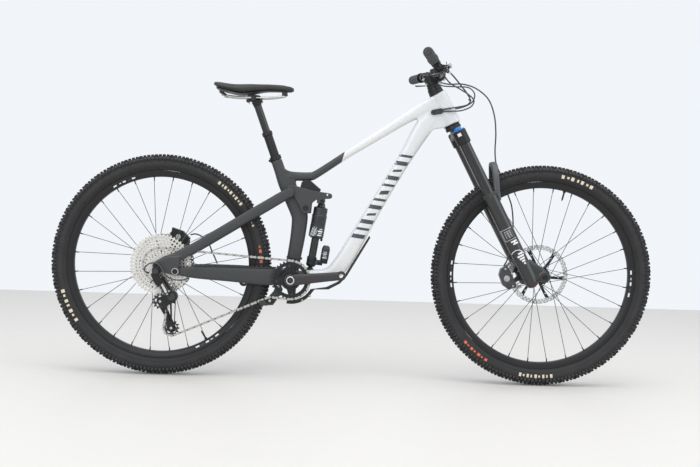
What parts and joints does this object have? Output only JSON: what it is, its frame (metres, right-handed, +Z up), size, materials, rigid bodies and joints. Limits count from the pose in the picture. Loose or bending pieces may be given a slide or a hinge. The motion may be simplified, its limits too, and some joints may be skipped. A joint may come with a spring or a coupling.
{
  "type": "mountain bike",
  "caption": "Full-suspension mountain bike with a link-driven rear shock, long-travel fork, dropper post, disc brakes and one chainring; crank arms have open pedal holes.",
  "frame": {"origin": "on the ground, half way between the two axles, in the bike's centre plane", "axes": "+X forward, +Y to the rider's left, +Z up"},
  "size_m": [2.0276, 0.7916, 1.076],
  "materials": {
    "frame_paint": "pearl light grey paint",
    "stay_paint": "matte anthracite paint",
    "black_metal": "black anodised, satin",
    "steel": "bare steel",
    "tyre_rubber": "black rubber",
    "soft_rubber": "matte rubber",
    "black_plastic": "matte black",
    "saddle_cover": "matte black cover over foam",
    "blue_anodised": "blue anodised"
  },
  "bodies": {
    "frame": {"main_frame": "frame_paint", "seat_clamp": "black_metal", "dropper_outer": "black_metal", "down_tube_guard": "soft_rubber", "chain_guide": "black_plastic", "bottom_bracket": "black_metal", "rocker_axle": "black_metal", "chain": "steel"},
    "post": {"dropper_inner": "black_metal", "saddle_rails": "steel", "saddle": "saddle_cover"},
    "chainstay": {"chainstay": "stay_paint", "rear_brake_hose": "black_plastic"},
    "seatstay": {"seatstay": "stay_paint", "rear_axle": "black_metal", "rear_calliper": "black_metal", "derailleur_body": "black_metal", "derailleur_rear_housing": "black_plastic"},
    "rocker": {"rocker": "stay_paint"},
    "shock": {"shock_damper": "black_metal"},
    "shock_can": {"shock_air_can": "black_metal"},
    "rear_wheel": {"rear_tyre": "tyre_rubber", "rear_rim": "black_metal", "rear_hub": "black_metal", "rear_spokes": "steel", "rear_rotor": "steel"},
    "cassette": {"cassette": "steel"},
    "cranks": {"crank_arm_right": "black_metal", "crank_arm_left": "black_metal", "chainring": "black_metal"},
    "cage": {"derailleur_cage": "black_metal"},
    "guide_pulley": {"guide_pulley": "black_plastic"},
    "tension_pulley": {"tension_pulley": "black_plastic"},
    "steering": {"fork_crown": "black_metal", "headset_spacers": "black_metal", "stem": "black_metal", "handlebar": "black_metal", "grip_right": "soft_rubber", "grip_left": "soft_rubber", "brake_master_right": "black_metal", "brake_master_left": "black_metal", "shifter_body": "black_plastic", "dropper_remote": "black_plastic", "rear_brake_front_hose": "black_plastic", "derailleur_front_housing": "black_plastic", "dropper_housing": "black_plastic", "front_brake_hose": "black_plastic"},
    "brake_lever_right": {"brake_lever_right": "black_metal"},
    "brake_lever_left": {"brake_lever_left": "black_metal"},
    "shift_paddle": {"shift_paddle": "black_plastic"},
    "dropper_paddle": {"dropper_paddle": "black_plastic"},
    "compression_knob": {"compression_knob": "blue_anodised"},
    "fork_lowers": {"fork_lowers": "black_metal", "front_axle": "black_metal", "front_calliper": "black_metal"},
    "front_wheel": {"front_tyre": "tyre_rubber", "front_rim": "black_metal", "front_hub": "black_metal", "front_spokes": "steel", "front_rotor": "steel"}
  },
  "joints": [
    {"name": "suspension", "type": "hinge", "parent": "frame", "child": "chainstay", "pos_m": [-0.20975, 0, 0.37], "axis": [0, 1, 0], "range_deg": [0, 20], "stiffness_Nm_per_rad": 1900, "deforming": ["chain", "rear_brake_hose", "derailleur_rear_housing"]},
    {"name": "seatstay_pivot", "type": "hinge", "parent": "chainstay", "child": "seatstay", "pos_m": [-0.58235, 0, 0.3548], "axis": [0, 1, 0], "range_deg": [-5.3, 0]},
    {"name": "rocker_pivot", "type": "hinge", "parent": "frame", "child": "rocker", "pos_m": [-0.15875, 0, 0.5771], "axis": [0, 1, 0], "range_deg": [0, 61.5]},
    {"name": "shock_pivot", "type": "hinge", "parent": "frame", "child": "shock", "pos_m": [-0.14045, 0, 0.3651], "axis": [0, 1, 0], "range_deg": [0, 2.1]},
    {"name": "shock_slide", "type": "slide", "parent": "shock", "child": "shock_can", "axis": [0.1512, 0, 0.9885], "range_m": [-0.0605, 0]},
    {"name": "rear_wheel_spin", "type": "hinge", "parent": "seatstay", "child": "rear_wheel", "pos_m": [-0.64175, 0, 0.372], "axis": [0, 1, 0], "continuous": true},
    {"name": "cassette_spin", "type": "hinge", "parent": "seatstay", "child": "cassette", "pos_m": [-0.64175, 0, 0.372], "axis": [0, 1, 0], "continuous": true},
    {"name": "crank_spin", "type": "hinge", "parent": "frame", "child": "cranks", "pos_m": [-0.20125, 0, 0.3351], "axis": [0, 1, 0], "continuous": true},
    {"name": "cage_swing", "type": "hinge", "parent": "seatstay", "child": "cage", "pos_m": [-0.59505, 0, 0.2698], "axis": [0, 1, 0], "range_deg": [-35, 15], "stiffness_Nm_per_rad": 2},
    {"name": "guide_pulley_spin", "type": "hinge", "parent": "cage", "child": "guide_pulley", "pos_m": [-0.63635, 0, 0.25], "axis": [0, 1, 0], "continuous": true},
    {"name": "tension_pulley_spin", "type": "hinge", "parent": "cage", "child": "tension_pulley", "pos_m": [-0.59755, 0, 0.1614], "axis": [0, 1, 0], "continuous": true},
    {"name": "steering", "type": "hinge", "parent": "frame", "child": "steering", "pos_m": [0.29765, 0, 0.9227], "axis": [-0.4664, 0, 0.8846], "range_deg": [-60, 60], "deforming": ["rear_brake_front_hose", "derailleur_front_housing", "dropper_housing"]},
    {"name": "brake_lever_right_pull", "type": "hinge", "parent": "steering", "child": "brake_lever_right", "pos_m": [0.286, -0.207, 1.03727], "axis": [0, 0, -1], "range_deg": [0, 15], "stiffness_Nm_per_rad": 1},
    {"name": "brake_lever_left_pull", "type": "hinge", "parent": "steering", "child": "brake_lever_left", "pos_m": [0.286, 0.207, 1.03727], "axis": [0, 0, 1], "range_deg": [0, 15], "stiffness_Nm_per_rad": 1},
    {"name": "shift_paddle_push", "type": "hinge", "parent": "steering", "child": "shift_paddle", "pos_m": [0.24649, -0.184, 1.02542], "axis": [0.2496, 0, -0.9684], "range_deg": [0, 25], "stiffness_Nm_per_rad": 0.5},
    {"name": "dropper_paddle_push", "type": "hinge", "parent": "steering", "child": "dropper_paddle", "pos_m": [0.26088, 0.182, 1.03235], "axis": [0, 0, 1], "range_deg": [0, 22], "stiffness_Nm_per_rad": 0.5},
    {"name": "compression_knob_turn", "type": "hinge", "parent": "steering", "child": "compression_knob", "pos_m": [0.33808, -0.071, 0.85245], "axis": [-0.4664, 0, 0.8846], "range_deg": [0, 270]},
    {"name": "fork_slide", "type": "slide", "parent": "steering", "child": "fork_lowers", "axis": [-0.4664, 0, 0.8846], "range_m": [0, 0.16], "stiffness_N_per_m": 8000, "deforming": ["front_brake_hose"]},
    {"name": "front_wheel_spin", "type": "hinge", "parent": "fork_lowers", "child": "front_wheel", "pos_m": [0.64175, 0, 0.372], "axis": [0, 1, 0], "continuous": true},
    {"name": "post_drop", "type": "slide", "parent": "frame", "child": "post", "axis": [-0.3499, 0, 0.9368], "range_m": [-0.08, 0.075]}
  ],
  "couplings": [
    {"joint": "seatstay_pivot", "follows": "suspension", "ratio": -0.2631},
    {"joint": "rocker_pivot", "follows": "suspension", "ratio": 3.0572},
    {"joint": "shock_pivot", "follows": "suspension", "ratio": 0.1035},
    {"joint": "shock_slide", "follows": "suspension", "m_per_rad": -0.1727},
    {"joint": "cassette_spin", "follows": "crank_spin", "ratio": 1.1429}
  ]
}
